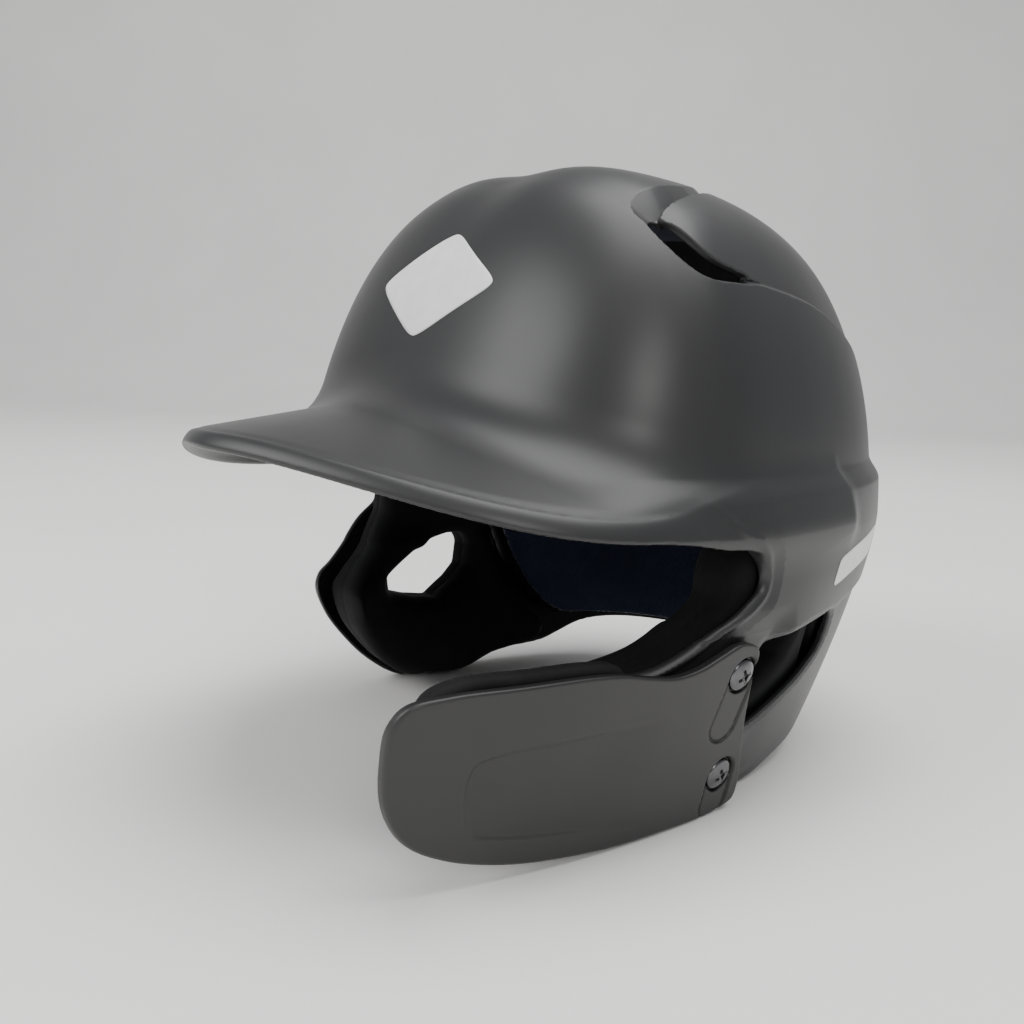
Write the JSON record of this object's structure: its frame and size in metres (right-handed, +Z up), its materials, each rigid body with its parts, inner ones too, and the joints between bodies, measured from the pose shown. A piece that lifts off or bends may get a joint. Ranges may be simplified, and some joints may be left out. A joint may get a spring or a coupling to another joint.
{
  "type": "batting helmet",
  "caption": "Hard-shell batting helmet with a forward brim, an ear flap on each side, foam padding inside and a jaw guard bolted to the wearer's left flap.",
  "frame": {"origin": "middle of the bounding box in X and Y, on the surface that the ear flaps rest on", "axes": "+Z up, the brim points along -Y, the wearer's left (the side with the jaw guard) is +X"},
  "size_m": [0.2043, 0.2653, 0.2013],
  "materials": {
    "shell_plastic": "fine matte moulded charcoal",
    "guard_plastic": "satin moulded black",
    "guard_foam": "soft black closed-cell foam",
    "screw_steel": "dark nickel plate",
    "nut_steel": "zinc plate",
    "liner_foam": "black closed-cell foam",
    "pad_fabric": "navy knitted cover",
    "ear_foam": "black skinned foam",
    "decal_film": "white film"
  },
  "bodies": {
    "root": {"shell": "shell_plastic", "jaw_guard": "guard_plastic", "jaw_guard_pad": "guard_foam", "guard_screw_upper": "screw_steel", "guard_screw_lower": "screw_steel", "guard_nut_upper": "nut_steel", "guard_nut_lower": "nut_steel", "front_liner": "liner_foam", "left_liner": "liner_foam", "right_liner": "liner_foam", "rear_liner": "liner_foam", "crown_liner": "liner_foam", "front_pad": "pad_fabric", "left_pad": "pad_fabric", "right_pad": "pad_fabric", "rear_pad": "pad_fabric", "crown_pad": "pad_fabric", "left_ear_pad": "ear_foam", "right_ear_pad": "ear_foam", "front_decal": "decal_film", "left_decal": "decal_film", "right_decal": "decal_film"}
  },
  "joints": []
}
